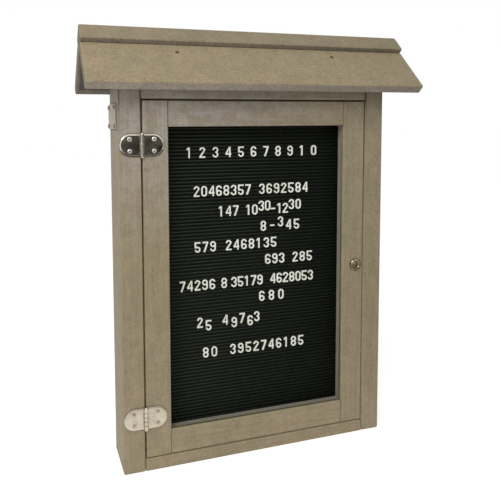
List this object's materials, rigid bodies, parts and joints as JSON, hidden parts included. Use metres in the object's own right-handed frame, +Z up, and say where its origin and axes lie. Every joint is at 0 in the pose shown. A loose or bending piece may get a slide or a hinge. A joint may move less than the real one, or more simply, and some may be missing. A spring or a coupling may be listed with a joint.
{
  "type": "outdoor letter board",
  "caption": "Outdoor message cabinet of plastic lumber: a gabled roof, a glazed door on butt hinges with a cam lock, and a grooved panel that holds press-in numerals.",
  "frame": {"origin": "centre of the case's underside, which is also the bottom centre of the whole part's box", "axes": "+Z up, -Y out of the door towards the reader, +X to the reader's right"},
  "size_m": [0.622, 0.1756, 0.7734],
  "materials": {
    "case_lumber": "weathered recycled plastic lumber, fine brushed grain",
    "roof_lumber": "weathered recycled plastic lumber, sun-bleached",
    "black_panel": "matt black, grooved",
    "white_plastic": "moulded white plastic",
    "clear_sheet": "clear sheet",
    "strip_aluminium": "satin, dulled by weather",
    "plate_metal": "light grey",
    "polished_steel": "polished stainless steel",
    "zinc_steel": "zinc plated",
    "screw_steel": "stainless"
  },
  "bodies": {
    "case": {"side_board_left": "case_lumber", "side_board_right": "case_lumber", "bottom_board": "case_lumber", "top_board": "case_lumber", "back_panel": "case_lumber", "batten_left": "case_lumber", "batten_right": "case_lumber", "letter_panel": "black_panel", "door_stop_left": "case_lumber", "door_stop_right_upper": "case_lumber", "door_stop_right_lower": "case_lumber", "door_stop_top": "case_lumber", "door_stop_bottom": "case_lumber", "roof_board_front": "roof_lumber", "roof_board_rear": "roof_lumber", "ridge_beam": "roof_lumber", "roof_block_left": "case_lumber", "roof_block_right": "case_lumber", "side_plate_left": "plate_metal", "side_plate_right": "plate_metal", "plate_screws": "screw_steel", "roof_screws": "screw_steel", "case_screws": "screw_steel", "back_screws": "screw_steel", "stop_screws": "screw_steel", "hinge_upper_case_leaf": "polished_steel", "hinge_upper_pin": "polished_steel", "hinge_lower_case_leaf": "polished_steel", "hinge_lower_pin": "polished_steel", "hinge_case_screws": "screw_steel", "numerals_heading": "white_plastic", "numerals_upper": "white_plastic", "numerals_middle": "white_plastic", "numerals_lower": "white_plastic"},
    "door": {"door_stile_left": "case_lumber", "door_stile_right": "case_lumber", "door_rail_top": "case_lumber", "door_rail_bottom": "case_lumber", "glazing": "clear_sheet", "glazing_strip_left": "strip_aluminium", "glazing_strip_right": "strip_aluminium", "glazing_strip_top": "strip_aluminium", "glazing_strip_bottom": "strip_aluminium", "strip_screws": "screw_steel", "door_screws": "screw_steel", "hinge_upper_door_leaf": "polished_steel", "hinge_lower_door_leaf": "polished_steel", "hinge_door_screws": "screw_steel", "lock_housing": "polished_steel", "lock_nut": "zinc_steel"},
    "lock": {"lock_plug": "polished_steel", "lock_cam": "zinc_steel", "cam_bolt": "zinc_steel"}
  },
  "joints": [
    {"name": "door_hinge", "type": "hinge", "parent": "case", "child": "door", "pos_m": [-0.21475, -0.0482, 0.3335], "axis": [0, 0, -1], "range_deg": [0, 170]},
    {"name": "lock_turn", "type": "hinge", "parent": "door", "child": "lock", "pos_m": [0.198, -0.0445, 0.3345], "axis": [0, -1, 0], "range_deg": [0, 90]}
  ]
}
